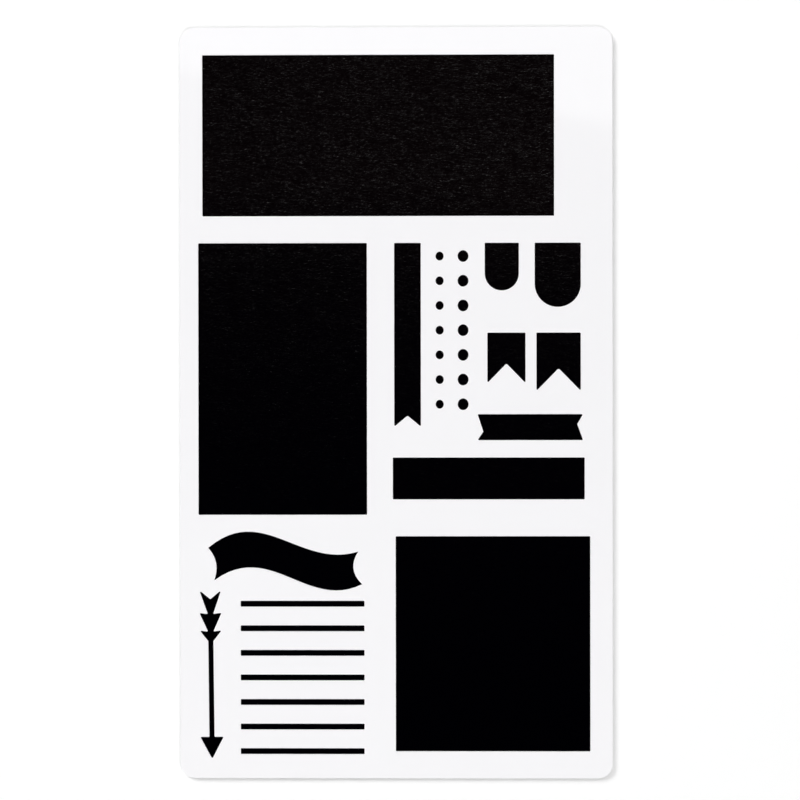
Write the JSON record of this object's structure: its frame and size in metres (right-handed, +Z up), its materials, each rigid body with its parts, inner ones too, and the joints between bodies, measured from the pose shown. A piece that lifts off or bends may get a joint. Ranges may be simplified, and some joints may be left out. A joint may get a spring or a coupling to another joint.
{
  "type": "drawing stencil",
  "caption": "Thin white plastic drawing stencil with window, banner, label, dot, line and arrow cut-outs, lying loose on a black backing card.",
  "frame": {"origin": "middle of the sheet's outline, on the underside of the backing card", "axes": "+X across the sheet, +Y along it towards the end with the wide window, +Z up out of the drawing face"},
  "size_m": [0.102, 0.177, 0.0013],
  "materials": {
    "white_plastic": "satin, smooth",
    "black_card": "matt, with a fine fibre grain"
  },
  "bodies": {
    "card": {"backing_card": "black_card"},
    "sheet": {"stencil_sheet": "white_plastic"}
  },
  "joints": [
    {"name": "sheet_lift", "type": "slide", "parent": "card", "child": "sheet", "axis": [0, 0, 1], "range_m": [0, 0.03]}
  ]
}
